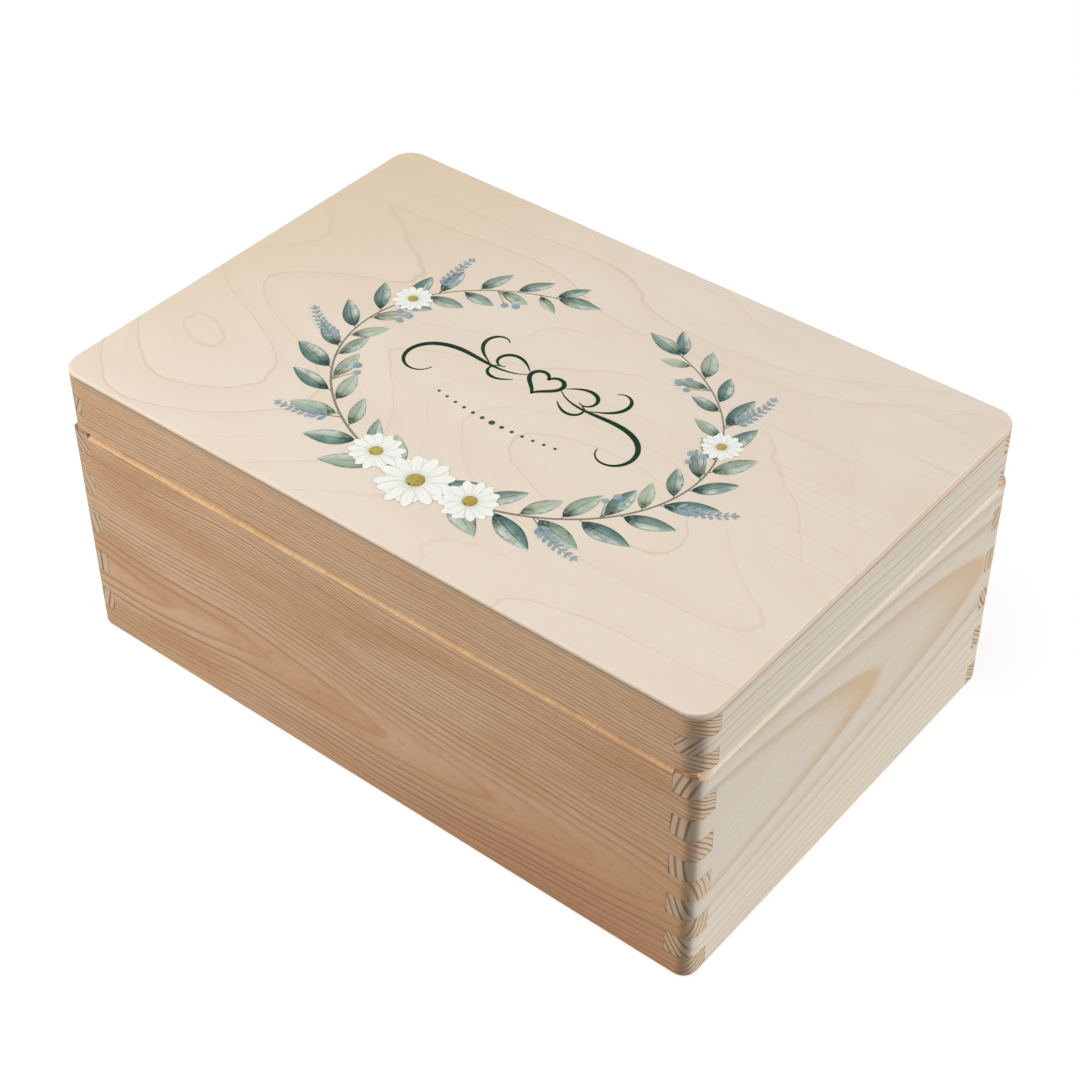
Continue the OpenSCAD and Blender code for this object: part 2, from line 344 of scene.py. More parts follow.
class Shader:
    """The nodes of a new material, or of a world that is given."""

    def __init__(self, name, world=None):
        self.material = world or bpy.data.materials.new(name)
        self.material.use_nodes = True
        self.tree = self.material.node_tree
        self.surface = self.tree.nodes.get("Principled BSDF")

    def node(self, kind, settings=None, values=None, output=0):
        """Adds a node: its settings first, then what its sockets hold or are linked to."""
        made = self.tree.nodes.new(kind)
        for name, value in (settings or {}).items():
            setattr(made, name, value)
        for key, value in (values or {}).items():
            self.feed(made, key, value)
        return Wire(self, find_socket(made.outputs, output))

    def feed(self, node, key, value):
        socket = find_socket(node.inputs, key)
        if isinstance(value, Wire):
            self.tree.links.new(value.socket, socket)
        else:
            socket.default_value = value

    def show(self, **values):
        """Sets or links the Principled shader's sockets, named with _ for a space."""
        for name, value in values.items():
            self.feed(self.surface, name.replace("_", " "), value)

    def maths(self, operation, *values):
        return self.node("ShaderNodeMath", {"operation": operation}, dict(enumerate(values)))

    def vector(self, operation, *values):
        return self.node("ShaderNodeVectorMath", {"operation": operation}, dict(enumerate(values)))

    def mix(self, share, first, second, blend="MIX"):
        return self.node(
            "ShaderNodeMix", {"data_type": "RGBA", "blend_type": blend},
            {"Factor": share, "A": first, "B": second})

    def shade(self, colour, tone):
        """A colour made lighter or darker. A tone of 1 leaves it as it is."""
        return self.mix(1.0, colour, self.join(tone, tone, tone), "MULTIPLY")

    def parts(self, vector):
        """The three numbers of a vector."""
        split = self.node("ShaderNodeSeparateXYZ", None, {"Vector": vector})
        return [Wire(self, socket) for socket in split.socket.node.outputs]

    def join(self, x, y, z):
        return self.node("ShaderNodeCombineXYZ", None, {0: x, 1: y, 2: z})

    def place(self):
        """Where a point of the box lies at rest, in millimetres."""
        metres = self.node("ShaderNodeTexCoord", output="Object")
        return self.parts(self.vector("SCALE", metres, 1 / MM))

    def facing(self):
        """How squarely the surface faces along X, Y and Z, each from 0 to 1."""
        normal = self.node("ShaderNodeTexCoord", output="Normal")
        return [abs(part) for part in self.parts(normal)]

    def noise(self, x, y, z, detail=2.0, roughness=0.5):
        """Smooth noise from 0 to 1 that changes over a length of 1."""
        return self.node(
            "ShaderNodeTexNoise", {"noise_dimensions": "3D"},
            {"Vector": self.join(x, y, z), "Scale": 1.0, "Detail": detail,
             "Roughness": roughness})

    def drift(self, value, detail=1.0):
        """Smooth noise from 0 to 1 along one number."""
        return self.node(
            "ShaderNodeTexNoise", {"noise_dimensions": "1D"},
            {"W": value, "Scale": 1.0, "Detail": detail, "Roughness": 0.5})

    def chance(self, value):
        """An even random number from 0 to 1 for each value."""
        return self.node("ShaderNodeTexWhiteNoise", {"noise_dimensions": "1D"}, {"W": value})

    def mark(self, name):
        """A number that the mesh carries at each point."""
        return self.node("ShaderNodeAttribute", {"attribute_name": name}, output="Fac")

    def relief(self, height, depth, strength=1.0):
        """A bump whose height of 1 stands for depth millimetres."""
        return self.node(
            "ShaderNodeBump", None,
            {"Height": height, "Distance": depth * MM, "Strength": strength})


def dress(names, material):
    """Gives these nodes of the box one material."""
    for name in names:
        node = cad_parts[name]
        for slot in node.material_slots:
            slot.material = material


# ---- Pine ----


WOOD_PARTS = ("early", "late", "arch", "warm", "end", "end_late", "sawn")
RUDDY = (0.88, 0.79, 0.73, 1)

# What the rings give at each point: how far the heart is, the share of that
# year's growth, two random numbers for the year, and how steeply the ring
# meets the face of the board
Growth = namedtuple("Growth", "radius season luck second_luck steep")


def inset_of(x, y, corner_r):
    """How far a point lies inside the box's rounded outline, seen from above."""
    out_x = abs(x) - (HALF_W - corner_r)
    out_y = abs(y) - (HALF_D - corner_r)
    past_x = out_x.at_least(0)
    past_y = out_y.at_least(0)
    corner = (past_x * past_x + past_y * past_y) ** 0.5
    return corner_r - corner - out_x.at_least(out_y).at_most(0)


class Board:
    """A board's shader, and what each part of its finish starts from."""

    def __init__(self, name, look):
        self.name = name
        self.look = look
        self.log = LOGS[name]
        self.is_long = self.log.along == "X"
        self.is_lid = name.startswith("lid")
        self.half_length = HALF_W if self.is_long else HALF_D
        self.shader = Shader(name + "_pine")
        x, y, self.z = self.shader.place()
        self.along, self.out = (x, y) if self.is_long else (y, x)
        self.inset = inset_of(x, y, LID_CORNER_R if self.is_lid else BODY_CORNER_R)
        self.faces = self.shader.facing()
        self.is_end = self.faces[0 if self.is_long else 1].rise(0.42, 0.86)
        kind = "long_" if self.is_long else "short_"
        self.wood = {part: opaque(getattr(look, kind + part)) for part in WOOD_PARTS}


def growth(board):
    """The rings of the log at each point of its board."""
    shader, log, along, out, z = board.shader, board.log, board.along, board.out, board.z

    # The heart of the log wanders a little on its way along the board
    sway = (shader.drift(along / 70 + log.seed) - 0.5) * log.wander
    swing = (shader.drift(along / 85 + log.seed + 40) - 0.5) * (9 * log.wander)
    from_heart_out = out - (along * log.lean + log.heart_out) - sway
    from_heart_up = z - log.heart_up - swing
    radius = (from_heart_out * from_heart_out + from_heart_up * from_heart_up) ** 0.5

    # The rings bulge a little, and some years were better than others
    bulge = shader.noise(along / 75 + log.seed, out / 14, z / 16, 2.0)
    tremble = shader.noise(along / 26, out / 1.6 + log.seed, z / 1.6, 1.0)
    radius = radius + (bulge - 0.5) * (1.3 * log.wander) + (tremble - 0.5) * 0.09
    radius = radius.at_least(log.core)
    years = radius * (radius * log.crowding + log.near_rings) + log.count
    years = years + (shader.drift(years / 2.7 + log.seed) - 0.5) * (1.8 * log.uneven)
    year = years.whole()
    return Growth(
        radius, years.fraction(), shader.chance(year + log.seed),
        shader.chance(year * 1.7 + log.seed + 5), abs(from_heart_up) / radius)


def late_wood(board, rings, steep):
    """How dark each ring is. It ends at a sharper edge than it starts."""
    if board.is_long:
        ring = rings.season.rise(0.54 + 0.18 * rings.luck, 0.92) * rings.season.rise(1.0, 0.94)
        ring = ring * (0.60 + 0.60 * rings.second_luck) * (0.42 + 0.60 * steep)
    else:
        ring = rings.season.rise(0.30 + 0.35 * rings.luck, 0.92) * rings.season.rise(1.0, 0.90)
        ring = ring * (0.45 + 0.80 * rings.second_luck) * (0.86 - 0.20 * steep)
    if board.name == "lid_front_rail":
        ring = ring * (1 - 0.55 * board.z.rise(119, 124))
    return ring


def end_grain(board, rings):
    """End grain drinks more finish: paler between the rings, darker in them."""
    shader = board.shader
    vessels = shader.noise(board.along / 0.8, board.out / 0.22, board.z / 0.22, 2.0, 0.7)
    ring = rings.season.rise(0.42 + 0.25 * rings.luck, 0.80) * rings.season.rise(1.0, 0.93)
    dark = ring * (0.65 + 0.5 * rings.second_luck) + (vessels - 0.5) * 0.35
    return shader.mix(dark.at_least(0).at_most(1), board.wood["end"], board.wood["end_late"])


def joint_lines(board):
    """Thin lines round the neighbour's fingers at the ends of a board."""
    along, z = board.along, board.z
    finger = LID_FINGER if board.is_lid else BODY_FINGER
    count = LID_FINGERS if board.is_lid else BODY_FINGERS
    bottom = RAIL_LOW if board.is_lid else 0
    top = RAIL_TOP if board.is_lid else BODY_TOP
    first = bottom + (top - bottom - (count - 2) * finger) / 2
    reach = board.half_length - abs(along)
    steps = (z - first) / finger
    level = abs((steps + 0.5).fraction() - 0.5) * finger
    across = level.rise(0.24, 0.05) * reach.below(BOARD_T)
    sides_turn = (steps / 2).fraction().below(0.5)
    own_turn = sides_turn if board.is_long else 1 - sides_turn
    upright = abs(reach - BOARD_T).rise(0.26, 0.05) * own_turn
    broken = board.shader.noise(along / 2.1, z / 2.3, 0.5).rise(0.34, 0.56)
    lines = across.at_least(upright) * (0.35 + 0.65 * broken) * board.inset.rise(1.2, 0.6)
    # On the lid's rails: the glue line under the panel, with painted shade in that seam, and
    # painted shade along the rail's lower edge
    if board.is_lid:
        glue_and_seam_shade = (RAIL_TOP - z).rise(0.75, 0.15) * board.inset.rise(0.8, 0.2)
        foot = (z - RAIL_LOW).rise(0.6, 0.0) * board.inset.rise(0.8, 0.2)
        lines = lines.at_least(glue_and_seam_shade * 0.75).at_least(foot * 0.5)
    return lines


def sawn_bevel(board):
    """The bevel under the lid, rough from the saw and still fresh in colour: where
    it is, its colour and its relief."""
    shader, log, along, out, z = board.shader, board.log, board.along, board.out, board.z
    coarse = 1 if board.is_long else 0.35
    orange_and_shade_wood = opaque(board.look.orange_and_shade)
    down = BODY_TOP - z
    nick = shader.noise(along / 1.3, z / 0.8, out / 0.8, 2.0) - 0.5
    corner = board.inset.at_most(down) + nick * 0.12
    torn = board.inset + down + nick * (0.9 * coarse)
    bevel = corner.rise(0.03, 0.12) * torn.rise(SEAM_BEVEL + 0.5, SEAM_BEVEL + 0.1)
    tooth = shader.noise(along / 0.9, (z - board.inset) / 2.2, 0.5 + log.seed, 3.0, 0.7)
    speck = shader.noise(along / 1.1, z / 0.7, out / 0.7 + 3, 1.0).rise(0.62, 0.76)
    fresh = shader.mix(
        tooth.rise(0.36, 0.70) * (0.70 * coarse), board.wood["sawn"], board.wood["early"])
    fresh = shader.mix(speck * (0.65 * coarse), fresh, orange_and_shade_wood)
    # The bevel turns a darker orange towards the corners. Near the corners of the side boards this
    # is also painted shade under the lid
    if board.is_long:
        patchy = shader.noise(along / 12, 0.5, log.seed, 2.0)
        orange_and_shade = (along / HALF_W).rise(0.2, 1.15) * 0.35 + patchy.rise(0.45, 0.70) * 0.30
    else:
        orange_and_shade = board.is_end.rise(0.0, 0.6).at_least((abs(along) / HALF_D).rise(0.90, 0.97) * 0.75)
    fresh = shader.mix(orange_and_shade, fresh, orange_and_shade_wood)
    return bevel, fresh, bevel * (tooth - 0.5) * (2.4 * coarse)


def pine(name, look):
    """Solid pine: the rings of its log run right through it, so they show as lines
    and arches on its faces and as stripes on its ends."""
    board = Board(name, look)
    shader, log, wood = board.shader, board.log, board.wood
    along, out, z = board.along, board.out, board.z
    is_long, is_lid = board.is_long, board.is_lid
    rings = growth(board)

    # Where a ring lies almost flat in the face its band is wide, soft and warm
    steep = rings.steep.rise(0.12, 0.80) if is_long else rings.steep.rise(0.05, 0.35)
    ring = late_wood(board, rings, steep)
    if name == "front_board":
        low_right = z.rise(54, 6) * along.bell(70, 150)
        ring = ring * (1 + 0.8 * low_right)
    dark = (ring + rings.season.rise(0.0, 1.0) * 0.16).at_most(1)
    band = shader.mix(steep, wood["arch"], wood["late"])

    # Long fibres, short resin ducts and slow changes of tone
    fibre = shader.noise(along / 6, out / 0.30, z / 0.30, 3.0, 0.6)
    strand = shader.noise(along / 55, out / 1.7, z / 1.7, 2.0)
    duct = shader.noise(along / 2.6, out / 0.34, z / 0.34 + 9, 1.0).rise(0.70, 0.80)
    dash = shader.noise(along / 4.2 + log.seed, out / 0.45, z / 0.45, 1.0).rise(0.56, 0.72)
    cloud = shader.noise(along / 85 + log.seed, out / 20, z / 24, 2.0).rise(0.36, 0.70)
    if name == "front_board":
        cloud = cloud.at_least((along / 130 - z / 60).rise(-0.9, 0.8))
    cloudy = 0.35 if is_lid else 0.75 if is_long else 0.5
    stringy = 0.28 if is_lid else 0.36

    # A long board shows fine streaks between its rings as well
    if is_long:
        hair = shader.noise(
            along / 120 + log.seed, rings.radius * 2.8, 0.5, 2.0, 0.6).rise(0.50, 0.70)
        dark = (dark + hair * 0.28).at_most(1)
    colour = shader.mix(dark, wood["early"], band)
    colour = shader.mix(cloud * cloudy, colour, shader.mix(dark, wood["warm"], band))
    colour = shader.mix((strand - 0.5) * stringy + 0.09, colour, wood["late"])
    colour = shader.mix(duct * (0.10 + 0.3 * ring), colour, wood["end_late"])
    colour = shader.mix(dash * (0.32 if is_long else 0.10), colour, wood["end_late"])
    if is_long:
        thread = shader.noise(along / 20, out / 0.38, z / 0.38 + 9, 1.0).rise(0.60, 0.76)
        colour = shader.mix(thread * 0.60, colour, wood["late"])
    if name == "front_board":
        colour = shader.mix(1.0, colour, shader.mix(low_right, WHITE, RUDDY), "MULTIPLY")
    # Painted light from the floor: the right board grows paler towards its foot, in the colour of
    # the side bevel
    if name == "right_board":
        colour = shader.mix(z.rise(62, 12) * 0.30, colour, wood["sawn"])

    # Fibres lighten and darken everything a little, the ends too
    colour = shader.mix(board.is_end, colour, end_grain(board, rings))
    colour = shader.shade(colour, 1 + (fibre - 0.5) * (0.26 if is_long else 0.18))
    height = fibre * 0.5 - duct * 0.4 - ring * 0.5
    rough = look.roughness + (fibre - 0.5) * 0.16 - ring * 0.07 + board.is_end * 0.1
    if not is_lid:
        bevel, fresh, relief = sawn_bevel(board)
        colour = shader.mix(bevel, colour, fresh)
        height = height + relief
        rough = rough + bevel * 0.2
    # Lines between boards, which on the lid also hold painted shade in its seams
    seams_and_shade = joint_lines(board)
    colour = shader.mix(seams_and_shade * 0.72, colour, opaque(look.joint))
    height = height - seams_and_shade * 1.2

    # Rounded edges are smoother. Painted shade darkens the upright corners, which face between the
    # lamps, and the bevel at the corners under the lid
    face_x, face_y, face_z = board.faces
    worn = face_x.at_least(face_y).at_least(face_z).rise(0.98, 0.80) * (1 - board.is_end)
    corner_shade = face_x.rise(0.10, 0.60) * face_y.rise(0.35, 0.68)
    # Painted shadow of the lid on the bevel where it rounds a corner
    tip = (face_x * face_y).rise(0.02, 0.15) * face_z.rise(0.3, 0.6)
    colour = shader.shade(colour, 1 - corner_shade * 0.36 - tip * (0 if is_lid else 0.42))
    shader.show(Base_Color=colour, Roughness=rough - worn * 0.06,
                Normal=shader.relief(height, 0.09))
    return shader.material


# ---- Plywood ----


def plywood(name, look, bottom, top, seed, is_panel):
    """Birch plywood: a pale face with faint nested lines, and layers at its edges."""
    shader = Shader(name)
    x, y, z = shader.place()

    # Peeled veneer shows the rings as contour lines of a gentle landscape
    hills = shader.noise(x / 230 + seed, y / 105, seed, 1.0, 0.4)
    ripple = shader.noise(x / 38 + seed, y / 11, 2.0, 2.0)
    contour = hills * 17 + ripple * 0.30 + y / 60
    step = contour.fraction()
    luck = shader.chance(contour.whole() + seed)
    line = step.rise(0.93, 0.97) * step.rise(1.0, 0.97) * (0.30 + 0.70 * luck)
    veil = step.rise(0.35, 1.0) * (0.02 + 0.12 * luck)
    streak = shader.noise(x / 120, y / 2.4 + seed, 6.0, 2.0).rise(0.56, 0.72)
    far = (x / 150 + y / 160).rise(0.1, 1.2)
    line = line * (1 - 0.6 * far)
    cloud = shader.noise(x / 70, y / 24 + seed, 4.0, 2.0).rise(0.35, 0.72)

    # Short flecks and fine pores run with the grain
    fleck = shader.noise(x / 7, y / 0.55, z / 0.55 + seed, 2.0, 0.6)
    pore = shader.noise(x / 1.9, y / 0.24, z / 0.24 + 7, 1.0).rise(0.66, 0.80)
    colour = shader.mix(line * 0.62 + veil + streak * far * 0.34, opaque(look.face),
                        opaque(look.figure))
    colour = shader.mix(cloud * 0.40, colour, opaque(look.shade))
    colour = shader.mix((y / 250 - x / 150).rise(0.30, 1.3) * 0.75, colour, opaque(look.warm))
    colour = shader.mix(pore * 0.16, colour, opaque(look.core))
    tone = 1 + (fleck - 0.5) * 0.085
    colour = shader.shade(colour, tone)
    height = fleck * 0.5 - pore * 0.5

    # At the edge the layers show, darker towards the line where they are glued on. On the lid's
    # panel that line is also painted shade in its seam with the rails
    face_x, _, face_z = shader.facing()
    edge = face_z.rise(0.985, 0.60)
    depth = (z - bottom) / (top - bottom)
    grain = shader.noise(x / 1.4, y / 1.4, z / 0.3, 2.0)
    tan = depth.rise(1.0, 0.45) * (0.72 - 0.50 * face_x) + 0.22
    tan = tan + depth.bell(0.86, 0.22) * face_x.rise(0.1, 0.7) * 0.42
    side = shader.mix(tan * (0.80 + 0.4 * grain), colour, opaque(look.core))
    if is_panel:
        glue_and_seam_shade = depth.bell(0.34 - 0.26 * face_x, 0.27)
        side = shader.mix(glue_and_seam_shade * (0.86 - 0.38 * face_x), side, opaque(look.glue_and_seam_shade))
    colour = shader.mix(edge, colour, side)
    rough = look.roughness + (fleck - 0.5) * 0.12 + edge * 0.08
    shader.show(Base_Color=colour, Roughness=rough, Normal=shader.relief(height, 0.04))
    return shader.material


# ---- Metal ----


def brushed_metal(name, look, bright, dull, seed):
    """Plated metal with fine lines along the hinge, dulled in places."""
    shader = Shader(name)
    x, y, z = shader.place()
    lines = shader.noise(x / 5, y / 0.07, z / 0.07 + seed, 3.0, 0.7)
    patch = shader.noise(x / 3.5, y / 2.2, z / 2.2 + seed, 3.0).rise(0.42, 0.75)
    scratch = shader.noise(x / 0.5 + y / 0.9, y / 3.0, z / 3.0, 2.0).rise(0.68, 0.74)
    colour = shader.mix(patch * 0.6, opaque(bright), opaque(dull))
    colour = shader.mix((lines - 0.5) * 0.5 + 0.1, colour, opaque(dull))
    rough = look.roughness + (lines - 0.5) * 0.25 + patch * 0.16 + scratch * 0.1
    shader.show(Base_Color=colour, Metallic=1.0, Roughness=rough,
                Normal=shader.relief(lines + scratch * 0.5, 0.006))
    return shader.material


# ---- Ink ----


class InkSheet:
    """Flat shapes of ink that share one mesh. Neighbours that overlap lie at
    slightly different heights, and each point is marked with its place along
    and across its shape and with its shape's own tint."""

    LAYER = 0.002  # millimetres between two neighbours
    LAYERS = 16
    MARKS = ("along", "across", "tint")

    def __init__(self, name, base):
        self.name = name
        self.base = base
        self.points = []
        self.faces = []
        self.marks = {mark: [] for mark in self.MARKS}
        self.count = 0

    def patch(self, rows, tint):
        """Adds a grid of points, given as rows of (x, y, along, across)."""
        height = self.base + self.LAYER * (self.count % self.LAYERS)
        self.count += 1
        first = len(self.points)
        width = len(rows[0])
        for row in rows:
            for x, y, along, across in row:
                self.points.append((x * MM, y * MM, height * MM))
                for mark, value in zip(self.MARKS, (along, across, tint)):
                    self.marks[mark].append(value)
        for i in range(len(rows) - 1):
            for j in range(width - 1):
                corner = first + i * width + j
                self.faces.append((corner, corner + 1, corner + width + 1, corner + width))

    def finish(self, material):
        """Makes the mesh, which lies on the lid and moves with it."""
        mesh = bpy.data.meshes.new(self.name)
        mesh.from_pydata(self.points, [], self.faces)
        for mark, values in self.marks.items():
            mesh.attributes.new(mark, "FLOAT", "POINT").data.foreach_set("value", values)
        shape = bmesh.new()
        shape.from_mesh(mesh)
        bmesh.ops.remove_doubles(shape, verts=shape.verts, dist=1e-8)
        bmesh.ops.dissolve_degenerate(shape, edges=shape.edges, dist=1e-8)
        for face in shape.faces:
            face.normal_update()
            if face.normal.z < 0:
                face.normal_flip()
        shape.to_mesh(mesh)
        shape.free()
        mesh.materials.append(material)
        piece = bpy.data.objects.new(self.name, mesh)
        bpy.context.scene.collection.objects.link(piece)
        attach(piece, "lid")
        return piece


def turned(x, y, angle):
    """A point turned about the middle."""
    return x * math.cos(angle) - y * math.sin(angle), x * math.sin(angle) + y * math.cos(angle)


def ribbon(sheet, path, widths, tint):
    """A stroke of ink along a path; widths has its width at each point."""
    rows = []
    last = len(path) - 1
    for i, (x, y) in enumerate(path):
        before = path[max(i - 1, 0)]
        after = path[min(i + 1, last)]
        angle = math.atan2(after[1] - before[1], after[0] - before[0])
        row = []
        for across in (-1, -0.5, 0, 0.5, 1):
            side_x, side_y = turned(0, across * widths[i] / 2, angle)
            row.append((x + side_x, y + side_y, i / last, across))
        rows.append(row)
    sheet.patch(rows, tint)


def blade(sheet, base, angle, length, width, bend, tint, fullest=0.42, blunt=1.0):
    """A leaf or petal that starts at base. fullest is where it is widest, and
    blunt above 1 gives it a rounder tip."""
    steps = 14
    rows = []
    for i in range(steps + 1):
        along = i / steps
        # Widest at the share fullest, and pointed at both ends
        share = along ** (math.log(0.5) / math.log(fullest))
        half = width / 2 * math.sin(math.pi * share) ** (1 / blunt)
        spine_x = length * along
        spine_y = bend * length * math.sin(math.pi * along / 2) * along
        row = []
        for k in range(-3, 4):
            across = k / 3
            x, y = turned(spine_x, spine_y + across * half, angle)
            row.append((base[0] + x, base[1] + y, along, across))
        rows.append(row)
    sheet.patch(rows, tint)


def disc(sheet, middle, radius, tint):
    """A round dot. Along runs outwards and across goes round."""
    around = 20
    rings = 4
    rows = []
    for i in range(rings + 1):
        row = []
        for k in range(around + 1):
            x, y = turned(radius * i / rings, 0, 2 * math.pi * k / around)
            row.append((middle[0] + x, middle[1] + y, i / rings, 2 * k / around - 1))
        rows.append(row)
    sheet.patch(rows, tint)


def bent_path(start, heading, length, bend_start, bend_end, steps=28):
    """A curve whose bend changes evenly from its start to its end, as points.
    A bend is the turn per unit of length, in radians."""
    x, y = start
    path = [(x, y)]
    step = length / steps
    for i in range(steps):
        share = (i + 0.5) / steps
        heading += (bend_start + (bend_end - bend_start) * share) * step
        x += math.cos(heading) * step
        y += math.sin(heading) * step
        path.append((x, y))
    return path


def swelling(count, thin, thick):
    """Widths of a pen stroke that swells in its middle."""
    return [thin + (thick - thin) * math.sin(math.pi * i / (count - 1)) ** 1.3
            for i in range(count)]


def tapering(count, start, end):
    return [start + (end - start) * i / (count - 1) for i in range(count)]


def ink_shader(name):
    """A shader for ink: also the marks of its mesh, and its place on the lid."""
    shader = Shader(name)
    marks = [shader.mark(mark) for mark in InkSheet.MARKS]
    x, y, _ = shader.place()
    return shader, *marks, x, y


def watercolour_leaf(look):
    """Washes of green: pale in the middle, pooled dark along one edge and at the foot."""
    shader, along, across, tint, x, y = ink_shader("leaf_wash")
    flow = shader.noise(x / 4.2 + tint * 9, y / 4.2, tint * 30, 2.0)
    speckle = shader.noise(x / 0.5, y / 0.5, tint * 12, 3.0, 0.7)
    pooling = shader.noise(x / 1.5, y / 1.5, tint * 50, 2.0)
    body = shader.mix(tint.rise(0.15, 0.85), opaque(look.sage), opaque(look.teal))

    # One half of the blade is lighter, and the light fades towards the tip
    side = (across * (0.4 + 0.8 * tint) + (flow - 0.5) * 2.2).rise(0.75, -0.75)
    glow = side * along.rise(0.05, 0.45) * (0.30 + 0.9 * flow.rise(0.35, 0.65))
    colour = shader.mix(glow, body, opaque(look.pale))
    foot = along.rise(0.45, 0.04) * (0.35 + 0.9 * pooling.rise(0.3, 0.7))
    rim = (abs(across) + (pooling - 0.5) * 0.6).rise(0.70, 1.04) * flow.rise(0.30, 0.62)
    vein = abs(across + (flow - 0.5) * 0.12).rise(0.10, 0.02) * along.rise(0.92, 0.6)
    ribs = ((along * 11 - abs(across) * 3.0).fraction() - 0.5)
    ribs = abs(ribs).rise(0.10, 0.0) * abs(across).rise(0.9, 0.5) * 0.16
    dark = (foot.at_least(rim * 0.85) + vein * (0.30 + 0.4 * tint) + ribs).at_most(1)
    colour = shader.mix(dark * 0.9, colour, opaque(look.deep))
    tone = 1 + (speckle - 0.5) * 0.22
    colour = shader.shade(colour, tone)
    edge = (abs(across) + (pooling - 0.5) * 0.10).rise(1.03, 0.95)
    shader.show(Base_Color=colour, Roughness=0.6 + (speckle - 0.5) * 0.1,
                Alpha=(0.97 - 0.12 * glow) * (0.15 + 0.85 * edge),
                Normal=shader.relief(speckle, 0.012), Specular_IOR_Level=0.15)
    return shader.material


def watercolour_wash(name, thin, pooled):
    """One thin wash that pools towards its edges."""
    shader, along, across, tint, x, y = ink_shader(name)
    flow = shader.noise(x / 2.4, y / 2.4, tint * 40, 2.0)
    speckle = shader.noise(x / 0.4, y / 0.4, tint * 12, 3.0, 0.7)
    edge = abs(across).rise(0.45, 1.0) * 0.5 + along.rise(0.7, 1.0) * 0.25
    dark = (edge + (flow - 0.35) + (tint - 0.5) * 0.5).at_least(0).at_most(1)
    colour = shader.mix(dark, opaque(thin), opaque(pooled))
    tone = 1 + (speckle - 0.5) * 0.2
    colour = shader.shade(colour, tone)
    shader.show(Base_Color=colour, Roughness=0.6 + (speckle - 0.5) * 0.1,
                Alpha=0.88 + (flow - 0.5) * 0.2, Normal=shader.relief(speckle, 0.012))
    return shader.material


def petal_white(look):
    """White petals with grey-green folds that deepen towards the eye."""
    shader, along, across, tint, x, y = ink_shader("petal_white")
    flow = shader.noise(x / 2.2, y / 2.2, tint * 40, 2.0)
    speckle = shader.noise(x / 0.4, y / 0.4, tint * 12, 3.0, 0.7)
    fold = abs((across * 1.5 + 0.5).fraction() - 0.5).rise(0.16, 0.02)
    fold = fold * along.rise(0.92, 0.35) * 0.55
    root = along.rise(0.46, 0.06)
    rim = (abs(across) + (flow - 0.5) * 0.3).rise(0.72, 1.0) * 0.8
    dark = (root * 0.8).at_least(fold).at_least(rim) * (0.6 + 0.5 * tint)
    colour = shader.mix(dark.at_most(1), opaque(look.petal), opaque(look.petal_shade))
    tone = 1 + (speckle - 0.5) * 0.05
    colour = shader.shade(colour, tone)
    shader.show(Base_Color=colour, Roughness=0.58 + (speckle - 0.5) * 0.1,
                Normal=shader.relief(speckle, 0.012))
    return shader.material


def pen_ink(name, colour, run_dry):
    """Opaque ink, a little uneven where the pen ran dry."""
    shader, _, across, _, x, y = ink_shader(name)
    speckle = shader.noise(x / 0.5, y / 0.5, 3.0, 3.0, 0.7)
    flow = shader.noise(x / 6, y / 6, 5.0, 2.0)
    shown = shader.mix(flow.rise(0.45, 0.8) * 0.10, opaque(colour), opaque(run_dry))
    tone = 1 + (speckle - 0.5) * 0.3
    shown = shader.shade(shown, tone)
    edge = (abs(across) + (speckle - 0.5) * 0.2).rise(1.08, 0.92)
    shader.show(Base_Color=shown, Roughness=0.6 + (speckle - 0.5) * 0.12,
                Alpha=0.45 + 0.55 * edge, Normal=shader.relief(speckle, 0.01),
                Specular_IOR_Level=0.1)
    return shader.material


# ---- Operators ----


class BoxOperator:
    """What the operators share."""

    bl_options = {"REGISTER", "UNDO"}

    @staticmethod
    def settings(context):
        return context.scene.keepsake


class KEEPSAKE_OT_boards(BoxOperator, bpy.types.Operator):
    """Finish the boards and rails in pine"""

    bl_idname = "keepsake.boards"
    bl_label = "Pine Boards"

    def execute(self, context):
        look = self.settings(context).pine
        for name in LOGS:
            dress([name], pine(name, look))
        return {"FINISHED"}


class KEEPSAKE_OT_plywood(BoxOperator, bpy.types.Operator):
    """Finish the lid's panel and the base in birch plywood"""

    bl_idname = "keepsake.plywood"
    bl_label = "Plywood"

    def execute(self, context):
        look = self.settings(context).plywood
        dress(["lid_panel"], plywood("lid_birch", look, RAIL_TOP, LID_TOP, 6.3, True))
        dress(["base_panel"], plywood("base_birch", look, BASE_LOW, BASE_TOP, 14.9, False))
        return {"FINISHED"}


class KEEPSAKE_OT_hinges(BoxOperator, bpy.types.Operator):
    """Finish the hinges, their pins and their screws in metal"""

    bl_idname = "keepsake.hinges"
    bl_label = "Hinges"

    def execute(self, context):
        look = self.settings(context).hinge
        dress(PLATES, brushed_metal("brass_plate", look, look.brass, look.tarnish, 2.0))
        dress(PINS, brushed_metal("steel_pin", look, look.steel, look.tarnish, 8.0))
        dress(SCREWS, brushed_metal("brass_screw", look, look.brass, look.tarnish, 5.0))
        return {"FINISHED"}


class Garland:
    """Places on the oval stem of the garland."""

    END_TURN = math.radians(158)

    def __init__(self, look):
        self.reach_x = look.reach_x / MM
        self.reach_y = look.reach_y / MM
        self.middle_y = -5.0
        self.leaf = look.leaf_length / MM
        self.base = LID_TOP + look.lift / MM

    def stem(self, turn, side):
        """The point at a turn up from the bottom, on the right (1) or left (-1)."""
        angle = turn - math.pi / 2
        return (side * self.reach_x * math.cos(angle),
                self.middle_y + self.reach_y * math.sin(angle))

    def heading(self, turn, side):
        """The way the stem grows there."""
        small = 0.01
        before = self.stem(turn - small, side)
        after = self.stem(turn + small, side)
        return math.atan2(after[1] - before[1], after[0] - before[0])


GOLDEN_ANGLE = math.pi * (3 - math.sqrt(5))


